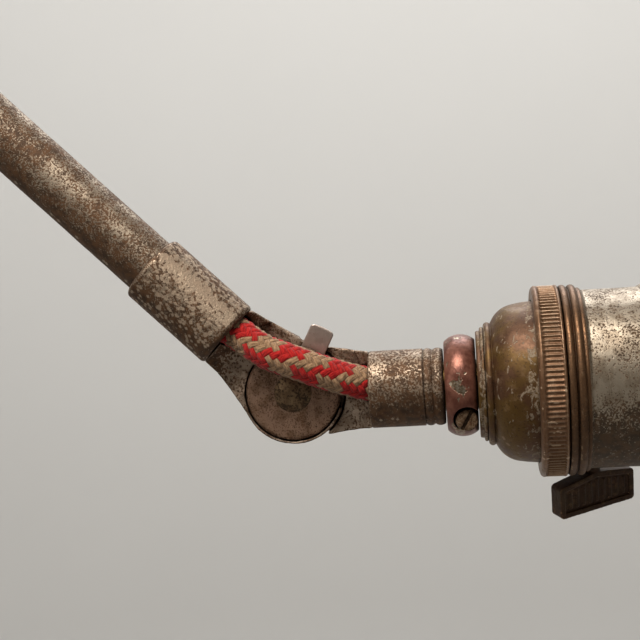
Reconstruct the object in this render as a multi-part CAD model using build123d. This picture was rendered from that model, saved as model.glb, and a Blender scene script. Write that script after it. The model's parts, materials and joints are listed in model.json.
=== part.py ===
from build123d import *
import math
import os

# Jointed wall lamp arm with a switched lampholder. Millimetres, +Z up, +X out of the wall, and
# the flex crosses both knuckles on the -Y side. The origin is the centre of the wall plate's
# screw circle, on the plate's back face.

# ---------------------------------------------------------------- driving dimensions
ARM_REACH = 182.0  # from pivot to pivot
BEND_ANGLE = 45.0  # each knuckle's bend at rest
BASE_PIVOT_X = 48.0  # wall face to the base pivot

TUBE_R = 6.35  # half-inch arm tube
TUBE_BORE_R = 5.3
CORD_R = 3.6
CORD_GAP = 0.05  # between one stretch of flex and the next
LOOP_ARM_END = 38.0  # pivot to the loop's end in the arm
LOOP_STEM_END = 30.0  # pivot to the loop's end in the stem

# knuckle, measured from its pivot: x along the ferrule's side, y through the eyes
EYE_R = 10.95
FRONT_EYE = (3.4, 6.0)
REAR_EYE = (6.6, 9.2)
COVER = (0.3, 2.0)
COVER_R = 10.1
LEVER = (2.05, 3.3)
LEVER_RING_R = 9.9
LEVER_TIP_R = 15.3
LEVER_WIDTH = 5.3
LEVER_ANGLE = 62.0
BOLT_R = 2.5
BOLT_HEAD_R = 4.1
BOLT_HEAD_RISE = 1.1
RUNNING_GAP = 0.06
WEB_ROOM_R = 10.35  # recess for the cover disc
EYE_ROOM_R = 11.2  # room round the other half's eye
RIM_FACE = 0.6  # the front eye's rim stands almost level with the cover disc
RIM_START = 25.0  # the rim runs half way round from here, so it is open where the lever sweeps
CHEEK = ((0, 0), (8.0, 9.0), (2.4, 10.5))  # fills the corner between the neck and the rim
CHEEK_END = 8.2  # pivot to the concave part of the neck's front
LEVER_ROOM_R = 15.8  # room that the lever's tab sweeps
BOLT_END = 13.8
NUT = (10.3, 13.3)
FAR = 30.0  # a length past the knuckle, for cutting shapes

STEM_FACE = 16.7  # pivot to the stem ferrule's face
STEM_FERRULE_END = 32.2
STEM_FERRULE_R = 8.1
ARM_FACE = 18.4  # pivot to the arm ferrule's face
ARM_FERRULE_END = 40.6
ARM_FERRULE_R = 7.75
TUBE_START = 26.0  # pivot to the tube's end, inside the ferrule
SHANK_DEPTH = 6.0
STEM_SOCKET_R = 6.6  # bore of the stem ferrule round the shank
STEM_BEADS = (28.1, 30.0)

NIPPLE_R = 5.2
NIPPLE_BORE_R = 4.2
NIPPLE_START = 23.2

# lampholder, measured along x from the head pivot
COLLAR = (32.5, 39.0)
COLLAR_R = 10.7
NECK_START = 39.2
NECK_R = 11.2
NECK_BEADS = (40.0, 40.85, 42.4)  # first bead, second bead, dome
DOME_START_R = 12.7
CAP_R = 16.8
CAP_END = 58.0
RING = (51.0, 56.5)
RING_R = 19.9
SHELL_START = 56.6
SHELL_END = 94.0
SHELL_R = 18.5
SHELL_BEAD_R = 19.8
SHELL_BEADS = (58.3, 60.1, 61.2)  # ends of the three beads
SHADE_STOP = (72.8, 74.2)  # the small rolled bead that stops a shade's collar
WALL = 1.0
SOCKET = (58.0, 71.0)
LAMP_THREAD_R = 13.3
LAMP_THREAD = (75.5, 92.0)
SCREW_PLACE = (36.6, -6.25)  # the collar screw's x and z
SCREW_HEAD = (-8.7, -6.4)
SCREW_HEAD_R = 2.35
SCREW_SHANK_R = 1.0
CONTACT_R = 1.2
TERMINAL_Z = 8.0
TERMINAL_START = 57.0
TERMINAL_R = 2.4
CONTACT_HEAD = (73.8, 75.0)
CONTACT_START = 65.5
NIPPLE_END = 46.0
KEY_X = 62.3
KEY_TILT = 13.5  # shaft leans away from straight down
KEY_TURN = 31.0  # paddle's turn about its shaft
KEY_STEM_R = 1.6
KEY_WIDTH = 19.0
KEY_SIDE_TOP = 22.0
KEY_PEAK = 20.4
KEY_BOTTOM = 29.0
KEY_THICK = 3.5
KEY_BORDER = 1.2  # raised border round the paddle's panel
KEY_PANEL_DEPTH = 0.5
KEY_RIB = (0.8, 1.7)  # width and pitch of the panel's grip ribs
KEY_RIB_RISE = 0.25
CHAMBER_R = 3.9  # switch chamber in the porcelain
ROTOR_R = 3.5

# wall end
PLATE_R = 38.0
PLATE_EDGE = 3.0
HUB_R = 11.0
HUB_END = 14.4
SCREW_CIRCLE = 60.0
SCREW_HOLE_R = 2.3
RECESS_R = 13.0
RECESS_DEPTH = 6.2

ARM_DROP = ARM_REACH * math.sin(math.radians(BEND_ANGLE))
ARM_RUN = ARM_REACH * math.cos(math.radians(BEND_ANGLE))
BASE_PLACE = Pos(BASE_PIVOT_X, 0, 0) * Rot(0, 180, 0)
HEAD_PLACE = Pos(BASE_PIVOT_X + ARM_RUN, 0, -ARM_DROP)
TO_ARM = Rot(0, BEND_ANGLE - 180, 0)  # lays a shape made along +X along a knuckle's arm side


# ---------------------------------------------------------------- helpers
def tube(x0, x1, outer, inner=0.0):
    """A round bar or tube along X."""
    section = Circle(outer) - Circle(inner) if inner else Circle(outer)
    return extrude(Plane(origin=(x0, 0, 0), x_dir=(0, 1, 0), z_dir=(1, 0, 0)) * section, x1 - x0)


def disc(y0, y1, outer, inner=0.0, x=0.0, z=0.0):
    """A round plate or ring about an axis along Y."""
    section = Circle(outer) - Circle(inner) if inner else Circle(outer)
    return extrude(Plane(origin=(x, y0, z), x_dir=(1, 0, 0), z_dir=(0, 1, 0)) * section, y1 - y0)


def slab(x0, x1, y0, y1, z0, z1):
    """A box from its limits."""
    return Pos((x0 + x1) / 2, (y0 + y1) / 2, (z0 + z1) / 2) * Box(x1 - x0, y1 - y0, z1 - z0)


def turned(outline):
    """A solid turned about the X axis from a closed outline of (x, radius)."""
    return revolve(make_face(outline), Axis.X, 360)


def bulge(x0, r0, x1, r1, rise):
    """An arc from (x0, r0) to (x1, r1) that stands out by rise at its middle."""
    return ThreePointArc((x0, r0), ((x0 + x1) / 2, (r0 + r1) / 2 + rise), (x1, r1))


def fillet_path(points):
    """Straight runs joined by the largest tangent arcs that their lengths allow."""
    points = [Vector(*p) for p in points]
    radii = []
    for before, corner, after in zip(points, points[1:], points[2:]):
        run_in = corner - before
        run_out = after - corner
        half_turn = math.radians(run_in.get_angle(run_out)) / 2
        radii.append(0.45 * min(run_in.length, run_out.length) / math.tan(half_turn))
    print("arc radii", [round(r, 1) for r in radii])
    return FilletPolyline(*points, radius=radii)


def round_rod(path, radius):
    """A round section swept along a path."""
    start = Plane(origin=path @ 0, z_dir=path % 0)
    return sweep(start * Circle(radius), path=path)


def arm_point(along, across, depth):
    """A knuckle point from its distances along and across the arm side's axis."""
    turn = math.radians(180 - BEND_ANGLE)
    x = along * math.cos(turn) + across * math.sin(turn)
    z = along * math.sin(turn) - across * math.cos(turn)
    return (x, depth, z)


# ---------------------------------------------------------------- knuckle
def neck(face_x, face_r, eye_depth):
    """The tapering neck between an eye and a round ferrule, with its eye."""
    root_x = 7.0
    root_low = -3.0
    root_high = REAR_EYE[1]
    root_half = 9.3
    square = Pos((root_low + root_high) / 2, 0) * RectangleRounded(root_high - root_low, 2 * root_half, 3.0)
    root = Plane(origin=(root_x, 0, 0), x_dir=(0, 1, 0), z_dir=(1, 0, 0)) * square
    mouth = Plane(origin=(face_x, 0, 0), x_dir=(0, 1, 0), z_dir=(1, 0, 0)) * Circle(face_r)
    body = loft([root, mouth]) + slab(0, root_x, eye_depth[0], eye_depth[1], -root_half, root_half)
    return body + disc(*eye_depth, EYE_R)


def eye_rim():
    """The front eye's rim round the cover disc, with the cheek that runs on into it from the neck."""
    rim = disc(RIM_FACE, FRONT_EYE[1], EYE_R)
    rim -= Rot(0, -RIM_START, 0) * slab(-FAR, FAR, -FAR, FAR, -FAR, 0)
    plane = Plane(origin=(0, FRONT_EYE[1], 0), x_dir=(1, 0, 0), z_dir=(0, -1, 0))
    return rim + extrude(plane * make_face(Polyline(*CHEEK, close=True)), FRONT_EYE[1] - RIM_FACE)


def web_hollow(face_x, cord_side):
    """What is cut from a neck: a concave front, and the lever's sweep on the flex's side."""
    hollow_r = 7.5
    hollow_back = 6.2  # from the ferrule's face to the hollow's middle
    hollow_y = -5.7
    across = Pos(face_x - hollow_back, hollow_y, 0) * Cylinder(hollow_r, 2 * FAR)
    front = slab(-FAR, face_x, -FAR, hollow_y, -FAR, FAR)
    side = slab(0, FAR, -FAR, FAR, 0, FAR) if cord_side > 0 else slab(0, FAR, -FAR, FAR, -FAR, 0)
    sweep_room = disc(-FAR, LEVER[1] + 0.15, LEVER_ROOM_R) & side
    return across + front + sweep_room


def shank(face_x, outer):
    """The open half-round tongue that holds a neck inside its ferrule."""
    full = tube(face_x - 0.6, face_x + SHANK_DEPTH, outer, TUBE_BORE_R)
    return full & slab(face_x - 2, face_x + SHANK_DEPTH + 1, 1.0, 10, -10, 10)


def stem_half(cord):
    """The knuckle half on the ferrule's side, with the rear eye."""
    body = neck(STEM_FACE, STEM_FERRULE_R - 0.05, REAR_EYE)
    body -= disc(-FAR, REAR_EYE[0], EYE_ROOM_R)
    body -= web_hollow(STEM_FACE, 1)
    body += shank(STEM_FACE, STEM_SOCKET_R)
    body -= cord
    body -= disc(0, BOLT_END, BOLT_R + RUNNING_GAP)
    return body


def arm_half(cord):
    """The knuckle half on the arm's side, with the front eye and its rim."""
    body = neck(ARM_FACE, ARM_FERRULE_R - 0.4, FRONT_EYE) + eye_rim()
    body -= disc(FRONT_EYE[1], FAR, EYE_ROOM_R)
    body -= disc(-FAR, FRONT_EYE[0], WEB_ROOM_R)
    body -= slab(-FAR, CHEEK_END, -FAR, RIM_FACE, -FAR, FAR)
    body -= web_hollow(ARM_FACE, -1)
    body += shank(ARM_FACE, TUBE_R)
    body = TO_ARM * body
    body -= cord
    body -= disc(0, BOLT_END, BOLT_R + RUNNING_GAP)
    return body


def stem_ferrule():
    """The sleeve with two end beads that joins a knuckle to its threaded pipe."""
    bead_start, bead_mid = STEM_BEADS
    bead_base = STEM_FERRULE_R - 0.35
    bead_rise = 0.4
    outline = Polyline(
        (STEM_FERRULE_END, NIPPLE_R), (NIPPLE_START, NIPPLE_R), (NIPPLE_START, STEM_SOCKET_R),
        (STEM_FACE, STEM_SOCKET_R), (STEM_FACE, STEM_FERRULE_R - 0.3), (STEM_FACE + 0.3, STEM_FERRULE_R),
        (bead_start, STEM_FERRULE_R), (bead_start, bead_base),
    )
    outline += bulge(bead_start, bead_base, bead_mid, bead_base, bead_rise)
    outline += bulge(bead_mid, bead_base, STEM_FERRULE_END, bead_base, bead_rise)
    outline += Line((STEM_FERRULE_END, bead_base), (STEM_FERRULE_END, NIPPLE_R))
    return turned(outline)


def arm_ferrule():
    """The plain sleeve that joins a knuckle to the arm tube."""
    body = tube(ARM_FACE, ARM_FERRULE_END, ARM_FERRULE_R)
    body = fillet(body.edges().filter_by(GeomType.CIRCLE), 0.8)
    return TO_ARM * (body - tube(ARM_FACE - 1, ARM_FERRULE_END + 1, TUBE_R))


def cover_disc():
    """The round cover under the pivot bolt's head, with a square hole that the bolt turns."""
    body = disc(*COVER, COVER_R)
    body = chamfer(body.faces().sort_by(Axis.Y)[0].edges(), 0.5)
    return body - bolt_square(COVER[0] - 1, COVER[1] + 1)


def bolt_square(y0, y1):
    """The pivot bolt's square neck."""
    half = BOLT_R * 0.9
    return slab(-half, half, y0, y1, -half, half)


def lock_lever():
    """The ring under the cover disc, with the finger tab that clamps or frees the pivot."""
    tab_face = Pos(LEVER_TIP_R / 2, 0) * Rectangle(LEVER_TIP_R, LEVER_WIDTH) & Circle(LEVER_TIP_R)
    tab_face = fillet(tab_face.vertices().sort_by(Axis.X)[-2:], 0.8)
    face = Rot(0, 0, -LEVER_ANGLE) * tab_face + Circle(LEVER_RING_R)
    plane = Plane(origin=(0, LEVER[0], 0), x_dir=(1, 0, 0), z_dir=(0, 1, 0))
    body = extrude(plane * face, LEVER[1] - LEVER[0])
    return body - bolt_square(LEVER[0] - 1, LEVER[1] + 1)


def pivot_bolt():
    """The domed bolt: head, square neck under the head, round shank."""
    ball_r = (BOLT_HEAD_R**2 + BOLT_HEAD_RISE**2) / (2 * BOLT_HEAD_RISE)
    ball = Pos(0, COVER[0] - BOLT_HEAD_RISE + ball_r, 0) * Sphere(ball_r)
    head = disc(COVER[0] - BOLT_HEAD_RISE - 1, COVER[0], BOLT_HEAD_R) & ball
    return head + bolt_square(COVER[0], LEVER[1]) + disc(LEVER[1], BOLT_END, BOLT_R)


def knuckle_cord(radius):
    """The flex across a knuckle, from inside the arm tube to inside the stem ferrule."""
    route = [
        arm_point(LOOP_ARM_END, 0.0, 0.0),
        arm_point(26.0, 0.1, 0.0),
        arm_point(17.6, 2.2, -1.5),
        arm_point(10.8, 3.0, -3.6),
        (-0.7, -4.4, 7.9),
        (4.5, -4.4, 5.7),
        (13.2, -2.9, 2.3),
        (22.0, 0.0, 0.05),
        (LOOP_STEM_END, 0.0, 0.0),
    ]
    path = fillet_path(route)
    rod = round_rod(path, radius)
    print("loop length", round(path.length, 1), "volume ratio",
          round(rod.volume / (math.pi * radius**2 * path.length), 3))
    return rod


def knuckle(name, place):
    """All the pieces of one knuckle, moved to their place."""
    cord = knuckle_cord(CORD_R)
    cord_room = knuckle_cord(CORD_R + 0.35)
    bolt_room_r = BOLT_R + 0.3
    nut_section = Plane(origin=(0, NUT[0], 0), x_dir=(1, 0, 0), z_dir=(0, 1, 0))
    hexagon = RegularPolygon(4.6, 6) - Circle(BOLT_R + RUNNING_GAP)
    pieces = {
        "stem_half": stem_half(cord_room),
        "stem_ferrule": stem_ferrule(),
        "arm_half": arm_half(cord_room),
        "arm_ferrule": arm_ferrule(),
        "cover_disc": cover_disc(),
        "lock_lever": lock_lever(),
        "pivot_bolt": pivot_bolt(),
        "friction_washer": disc(FRONT_EYE[1], REAR_EYE[0] - 0.1, 8.0, bolt_room_r),
        "spring_washer": disc(REAR_EYE[1], NUT[0], 4.4, bolt_room_r),
        "pivot_nut": extrude(nut_section * hexagon, NUT[1] - NUT[0]),
        "cord_loop": cord,
    }
    return {f"{name}_{key}": place * shape for key, shape in pieces.items()}


# ---------------------------------------------------------------- arm
def arm_parts():
    """The arm tube and the flex inside it, laid out from the head pivot."""
    place = HEAD_PLACE * TO_ARM
    cord_end = LOOP_ARM_END + CORD_GAP
    return {
        "arm_tube": place * tube(TUBE_START, ARM_REACH - TUBE_START, TUBE_R, TUBE_BORE_R),
        "arm_cord": place * tube(cord_end, ARM_REACH - cord_end, CORD_R),
    }


# ---------------------------------------------------------------- lampholder
def radial(shape):
    """Lays a shape made along -Z, centred on the key's shaft, into the lampholder."""
    return Pos(KEY_X, 0, 0) * Rot(KEY_TILT, 0, 0) * shape


def shaft(r0, r1, radius):
    """A round bar along the key's shaft between two distances from the lampholder's axis."""
    return radial(Pos(0, 0, -(r0 + r1) / 2) * Cylinder(radius, r1 - r0))


def clamp_collar():
    """The barrel-shaped split collar, with its slit and its counterbored screw hole."""
    start_r, end_r = 9.3, 9.5
    middle = sum(COLLAR) / 2
    outline = Polyline((COLLAR[1], end_r), (COLLAR[1], NIPPLE_R), (COLLAR[0], NIPPLE_R), (COLLAR[0], start_r))
    outline += ThreePointArc((COLLAR[0], start_r), (middle, COLLAR_R), (COLLAR[1], end_r))
    body = turned(outline)
    body -= slab(COLLAR[0] - 1, COLLAR[1] + 1, -0.4, 0.4, -2 * COLLAR_R, -1)
    x, z = SCREW_PLACE
    body -= disc(-12, SCREW_HEAD[1], SCREW_HEAD_R + 0.4, x=x, z=z)
    return body - disc(-12, 12, SCREW_SHANK_R, x=x, z=z)


def collar_screw():
    """The slotted screw that closes the collar's slit."""
    x, z = SCREW_PLACE
    shank_end = 7.4
    head = disc(*SCREW_HEAD, SCREW_HEAD_R, x=x, z=z)
    head = fillet(head.faces().sort_by(Axis.Y)[0].edges(), 0.7)
    slot = Pos(x, SCREW_HEAD[0], z) * Rot(0, 30, 0) * Box(0.7, 1.6, 3 * SCREW_HEAD_R)
    return head - slot + disc(SCREW_HEAD[1], shank_end, SCREW_SHANK_R, x=x, z=z)


def cap():
    """The domed cap: beaded neck, dome and the skirt that enters the shell."""
    inner = CAP_R - WALL
    outline = Polyline(
        (CAP_END, CAP_R), (CAP_END, inner), (49.0, inner), (45.4, 14.4), (43.4, 11.6), (43.4, NIPPLE_R),
        (NECK_START, NIPPLE_R), (NECK_START, NECK_R), (NECK_BEADS[0], NECK_R),
    )
    first, second, dome = NECK_BEADS
    outline += bulge(first, NECK_R, second, NECK_R + 0.7, 0.35)
    outline += Line((second, NECK_R + 0.7), (second, NECK_R + 1.0))
    outline += bulge(second, NECK_R + 1.0, dome, DOME_START_R, 0.4)
    shoulder = (46.8, 16.3)
    outline += ThreePointArc((dome, DOME_START_R), (44.0, 14.9), shoulder)
    outline += ThreePointArc(shoulder, (48.9, 16.65), (RING[0], CAP_R))
    outline += Line((RING[0], CAP_R), (CAP_END, CAP_R))
    return turned(outline)


def union_ring():
    """The clamping ring, with smooth rounded rims beside its knurled band."""
    low_r = RING_R - 1.2
    left, right = RING
    outline = ThreePointArc((left, low_r), (left + 0.25, RING_R - 0.3), (left + 0.8, RING_R))
    outline += Polyline((left + 0.8, RING_R), (left + 1.1, RING_R - 0.25), (right - 1.1, RING_R - 0.25),
                        (right - 0.8, RING_R))
    outline += ThreePointArc((right - 0.8, RING_R), (right - 0.25, RING_R - 0.3), (right, low_r))
    outline += Polyline((right, low_r), (right, CAP_R), (left, CAP_R), (left, low_r))
    return turned(outline)


def shell():
    """The beaded outer shell, with the hole for the key's shaft."""
    inner = SHELL_R - WALL
    step = SHELL_BEAD_R - 0.7
    outline = Polyline(
        (SHELL_END, SHELL_R), (SHELL_END, inner), (59.6, inner), (59.6, CAP_R), (SHELL_START, CAP_R),
        (SHELL_START, step),
    )
    first, second, third = SHELL_BEADS
    outline += bulge(SHELL_START, step, first, step, 0.7)
    outline += bulge(first, step, second, step, 0.7)
    outline += bulge(second, step, third, SHELL_R, 0.3)
    outline += Line((third, SHELL_R), (SHADE_STOP[0], SHELL_R))
    outline += bulge(SHADE_STOP[0], SHELL_R, SHADE_STOP[1], SHELL_R, 0.4)
    outline += Line((SHADE_STOP[1], SHELL_R), (SHELL_END, SHELL_R))
    return turned(outline) - shaft(10, 25, KEY_STEM_R + RUNNING_GAP)


def socket_body():
    """The porcelain body, with the switch's chamber and the centre contact's bore."""
    flange_end = 59.5
    body = tube(SOCKET[0], flange_end, CAP_R) + tube(flange_end, SOCKET[1], 15.6)
    body -= shaft(2.5, 18, CHAMBER_R)
    body -= tube(69.0, SOCKET[1] + 1, 3.2)
    return body - tube(60.0, SOCKET[1] + 1, CONTACT_R + 0.15)


def screw_shell():
    """The cup that the lamp's cap screws into."""
    sheet = 0.6
    thread_start, mouth = LAMP_THREAD
    body = tube(SOCKET[1], mouth, LAMP_THREAD_R + sheet)
    body -= tube(SOCKET[1] + sheet, mouth + 1, LAMP_THREAD_R - 0.5)
    body -= tube(thread_start, mouth + 1, LAMP_THREAD_R)
    return body - tube(SOCKET[1] - 1, SOCKET[1] + 2, 5.0)


def key():
    """The paddle key on its shaft: a five-sided plate with a shallow peak at the shaft."""
    half = KEY_WIDTH / 2
    corners = ((half, -KEY_SIDE_TOP), (half, -KEY_BOTTOM), (-half, -KEY_BOTTOM), (-half, -KEY_SIDE_TOP))
    outline = make_face(Polyline((0, -KEY_PEAK), *corners, (0, -KEY_PEAK)))
    outline = fillet(outline.vertices(), 0.9)
    panel = offset(outline, -KEY_BORDER)
    rib_width, rib_pitch = KEY_RIB
    ribs = [Pos(rib_pitch * k, -KEY_BOTTOM / 2) * Rectangle(rib_width, KEY_BOTTOM) for k in range(-4, 5)]
    ribs = sum(ribs, Sketch()) & offset(panel, -0.6)
    plate = Part()
    for side in (-1, 1):
        middle = Plane(origin=(0, 0, 0), x_dir=(side, 0, 0), z_dir=(0, -side, 0))
        plate += extrude(middle * outline, KEY_THICK / 2)
        floor = middle.offset(KEY_THICK / 2 - KEY_PANEL_DEPTH)
        plate -= extrude(floor * panel, KEY_PANEL_DEPTH)
        plate += extrude(floor * ribs, KEY_RIB_RISE)
    stem_start = 5.0
    stem_end = KEY_PEAK + 1.0
    stem = Pos(0, 0, -(stem_start + stem_end) / 2) * Cylinder(KEY_STEM_R, stem_end - stem_start)
    return radial(Rot(0, 0, KEY_TURN) * plate + stem)


def switch_rotor():
    """The insulating cam on the key's shaft, inside the porcelain."""
    height = 5.0
    place = Pos(0, 0, -8.0)
    cam = Cylinder(ROTOR_R, height) - Pos(ROTOR_R, 0, 0) * Box(1.4, 3 * ROTOR_R, height + 1)
    return radial(place * (cam - Cylinder(KEY_STEM_R, height + 1)))


def lead_wires():
    """The two cores that leave the flex and end under the terminal screws."""
    cores = []
    core_r = 1.2
    for side in (-1, 1):
        route = [
            (NIPPLE_END, 0, 1.5 * side),
            (49.0, 0, 1.8 * side),
            (52.6, 0, (TERMINAL_Z - 0.4) * side),
            (TERMINAL_START - 0.2, 0, TERMINAL_Z * side),
        ]
        cores.append(round_rod(fillet_path(route), core_r))
    return cores[0] + cores[1]


def terminal_screws():
    """Two screws in the back of the porcelain."""
    screw = tube(TERMINAL_START, SOCKET[0], TERMINAL_R)
    return Pos(0, 0, TERMINAL_Z) * screw + Pos(0, 0, -TERMINAL_Z) * screw


def contact_spring():
    """The spring that pushes the centre contact out."""
    wire_r = 0.25
    start = 70.3
    coil = Helix(pitch=1.0, height=3.0, radius=2.1)
    wire = sweep(Plane(origin=coil @ 0, z_dir=coil % 0) * Circle(wire_r), path=coil)
    return Pos(start, 0, 0) * Rot(0, 90, 0) * wire


def centre_contact():
    """The plunger that touches the lamp's tip."""
    return tube(*CONTACT_HEAD, 3.0) + tube(CONTACT_START, CONTACT_HEAD[0], CONTACT_R)


def lampholder_parts():
    """Everything from the threaded nipple to the lampholder's mouth."""
    lock_section = Plane(origin=(43.5, 0, 0), x_dir=(0, 1, 0), z_dir=(1, 0, 0))
    nut = extrude(lock_section * (RegularPolygon(8.6, 6) - Circle(NIPPLE_R)), 2.5)
    pieces = {
        "nipple": tube(NIPPLE_START, NIPPLE_END, NIPPLE_R, NIPPLE_BORE_R),
        "clamp_collar": clamp_collar(),
        "collar_screw": collar_screw(),
        "holder_cap": cap(),
        "cap_lock_nut": nut,
        "union_ring": union_ring(),
        "holder_shell": shell(),
        "insulating_liner": tube(61.0, 92.5, 17.45, 16.9) - shaft(10, 25, 2.6),
        "socket_body": socket_body(),
        "screw_shell": screw_shell(),
        "centre_contact": centre_contact(),
        "contact_spring": contact_spring(),
        "terminal_screws": terminal_screws(),
        "lead_wires": lead_wires(),
        "head_cord": tube(LOOP_STEM_END + CORD_GAP, NIPPLE_END - 0.1, CORD_R),
        "switch_key": key(),
        "switch_rotor": switch_rotor(),
    }
    return {name: HEAD_PLACE * shape for name, shape in pieces.items()}


# ---------------------------------------------------------------- wall end
def wall_plate():
    """The turned wall plate, its hub and its countersunk screw holes."""
    outline = Polyline(
        (0, RECESS_R), (RECESS_DEPTH, RECESS_R), (RECESS_DEPTH, NIPPLE_R + RUNNING_GAP),
        (HUB_END, NIPPLE_R + RUNNING_GAP), (HUB_END, HUB_R - 1.0),
    )
    outline += ThreePointArc((HUB_END, HUB_R - 1.0), (HUB_END - 0.3, HUB_R - 0.3), (HUB_END - 1.0, HUB_R))
    outline += Line((HUB_END - 1.0, HUB_R), (9.6, HUB_R))
    outline += ThreePointArc((9.6, HUB_R), (6.4, 16.0), (4.6, 24.0))
    outline += ThreePointArc((4.6, 24.0), (4.2, 34.5), (PLATE_EDGE - 1.4, PLATE_R))
    outline += Polyline((PLATE_EDGE - 1.4, PLATE_R), (0, PLATE_R), (0, RECESS_R))
    body = turned(outline)
    for turn in (90, 210, 330):
        hole = Pos(0, 0, SCREW_CIRCLE / 2) * (tube(-1, 8, SCREW_HOLE_R) + tube(3.4, 8, SCREW_HOLE_R + 2.0))
        body -= Rot(turn, 0, 0) * hole
    return body


def wall_parts():
    """The wall plate, and the hollow post that swivels in it."""
    post_end = BASE_PIVOT_X - NIPPLE_START
    ferrule_face = BASE_PIVOT_X - STEM_FERRULE_END
    nut_section = Plane(origin=(2.2, 0, 0), x_dir=(0, 1, 0), z_dir=(1, 0, 0))
    return {
        "wall_plate": wall_plate(),
        "swivel_post": tube(2.0, post_end, NIPPLE_R, NIPPLE_BORE_R),
        "swivel_washer": tube(HUB_END + 0.1, ferrule_face, 8.0, NIPPLE_R),
        "swivel_nut": extrude(nut_section * (RegularPolygon(9.2, 6) - Circle(NIPPLE_R)), 2.8),
        "wave_washer": tube(5.05, RECESS_DEPTH - 0.1, 8.4, NIPPLE_R),
        "wall_cord": tube(0.5, BASE_PIVOT_X - LOOP_STEM_END - CORD_GAP, CORD_R),
    }


os.makedirs("parts", exist_ok=True)
nodes = {}
nodes.update(wall_parts())
nodes.update(knuckle("base", BASE_PLACE))
nodes.update(arm_parts())
nodes.update(knuckle("head", HEAD_PLACE))
nodes.update(lampholder_parts())
for node_name, node_shape in nodes.items():
    export_step(node_shape, f"parts/{node_name}.step")
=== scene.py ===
import json
import math

import bpy
import numpy as np
from mathutils import Matrix, Vector


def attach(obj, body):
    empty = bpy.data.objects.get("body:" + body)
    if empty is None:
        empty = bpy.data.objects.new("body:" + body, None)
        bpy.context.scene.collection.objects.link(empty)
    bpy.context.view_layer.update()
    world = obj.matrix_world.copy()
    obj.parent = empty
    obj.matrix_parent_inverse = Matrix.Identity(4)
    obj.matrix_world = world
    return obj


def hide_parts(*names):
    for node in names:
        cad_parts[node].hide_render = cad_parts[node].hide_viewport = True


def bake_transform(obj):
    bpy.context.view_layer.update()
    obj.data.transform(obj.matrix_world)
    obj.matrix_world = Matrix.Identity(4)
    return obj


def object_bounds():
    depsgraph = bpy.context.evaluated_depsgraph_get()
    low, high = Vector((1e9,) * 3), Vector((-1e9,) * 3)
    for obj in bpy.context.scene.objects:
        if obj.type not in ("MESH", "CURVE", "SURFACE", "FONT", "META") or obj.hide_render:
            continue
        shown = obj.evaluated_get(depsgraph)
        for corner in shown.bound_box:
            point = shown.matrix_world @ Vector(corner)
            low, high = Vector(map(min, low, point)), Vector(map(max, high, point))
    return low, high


# The looks of the jointed lamp arm. Lengths named in the code are in millimetres, and MM turns
# them into the frame's metres. Turned parts are lathed, castings are remeshed from the packed
# solids, and the flex is a braid of raised yarns along its route.

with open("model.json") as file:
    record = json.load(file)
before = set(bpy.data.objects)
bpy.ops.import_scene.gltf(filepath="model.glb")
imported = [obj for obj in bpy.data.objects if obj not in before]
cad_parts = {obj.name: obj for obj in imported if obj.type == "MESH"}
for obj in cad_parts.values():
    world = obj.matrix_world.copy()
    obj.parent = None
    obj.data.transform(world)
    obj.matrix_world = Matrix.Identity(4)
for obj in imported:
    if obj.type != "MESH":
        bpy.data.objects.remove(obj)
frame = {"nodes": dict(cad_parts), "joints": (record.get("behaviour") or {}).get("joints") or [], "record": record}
cad_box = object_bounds()

MM = 0.001
JOINTS = {joint["name"]: joint for joint in frame["joints"]}
HEAD = Vector(JOINTS["head_tilt"]["pos_m"])
BASE = Vector(JOINTS["arm_tilt"]["pos_m"])
ARM_AXIS = (BASE - HEAD).normalized()  # from the head pivot up the arm
HEAD_AXIS = Vector((1, 0, 0))
FINE_STEP = 0.12  # between the points of rolled beads and rounded edges
PIT_CELL = 0.7  # usual distance between pits
LATTICE_PRIMES = np.array((73856093, 19349663, 83492791))


# ================================================================ numeric helpers
def hash_noise(points, cell, seed):
    """Smooth value noise in -1..1 over 3-D points, with one lattice value per cell."""
    scaled = points / cell
    corner = np.floor(scaled).astype(np.int64)
    part = scaled - corner
    part = part * part * (3 - 2 * part)
    total = np.zeros(len(points))
    for shift in np.ndindex(2, 2, 2):
        lattice = (corner + shift) * LATTICE_PRIMES
        mixed = lattice[:, 0] ^ lattice[:, 1] ^ lattice[:, 2] ^ seed * 2654435
        mixed = (mixed ^ (mixed >> 13)) * 1274126177 & 0x7FFFFFFF
        value = ((mixed ^ (mixed >> 11)) & 0xFFFF) / 32767.5 - 1
        weight = np.prod(np.where(np.array(shift) == 1, part, 1 - part), axis=1)
        total += value * weight
    return total


def fractal(points, cell, octaves, seed):
    """Value noise summed over octaves, each half the size and half the height."""
    total = np.zeros(len(points))
    for octave in range(octaves):
        total += hash_noise(points, cell / 2**octave, seed + octave) / 2**octave
    return total


def pitting(points, share, seed):
    """Depth 0..1 of scattered pits; a larger share gives more and wider pits."""
    level = hash_noise(points, PIT_CELL, seed) + 0.5 * hash_noise(points, PIT_CELL * 0.45, seed + 7)
    return np.clip((level - (1.0 - share)) / 0.35, 0, 1)


def mesh_arrays(mesh):
    """A mesh's vertex positions and normals as arrays."""
    count = len(mesh.vertices)
    places = np.zeros(count * 3)
    normals = np.zeros(count * 3)
    mesh.vertices.foreach_get("co", places)
    mesh.vertices.foreach_get("normal", normals)
    return places.reshape(-1, 3), normals.reshape(-1, 3)


def set_places(mesh, places):
    """Moves a mesh's vertices."""
    mesh.vertices.foreach_set("co", places.ravel())
    mesh.update()


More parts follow.
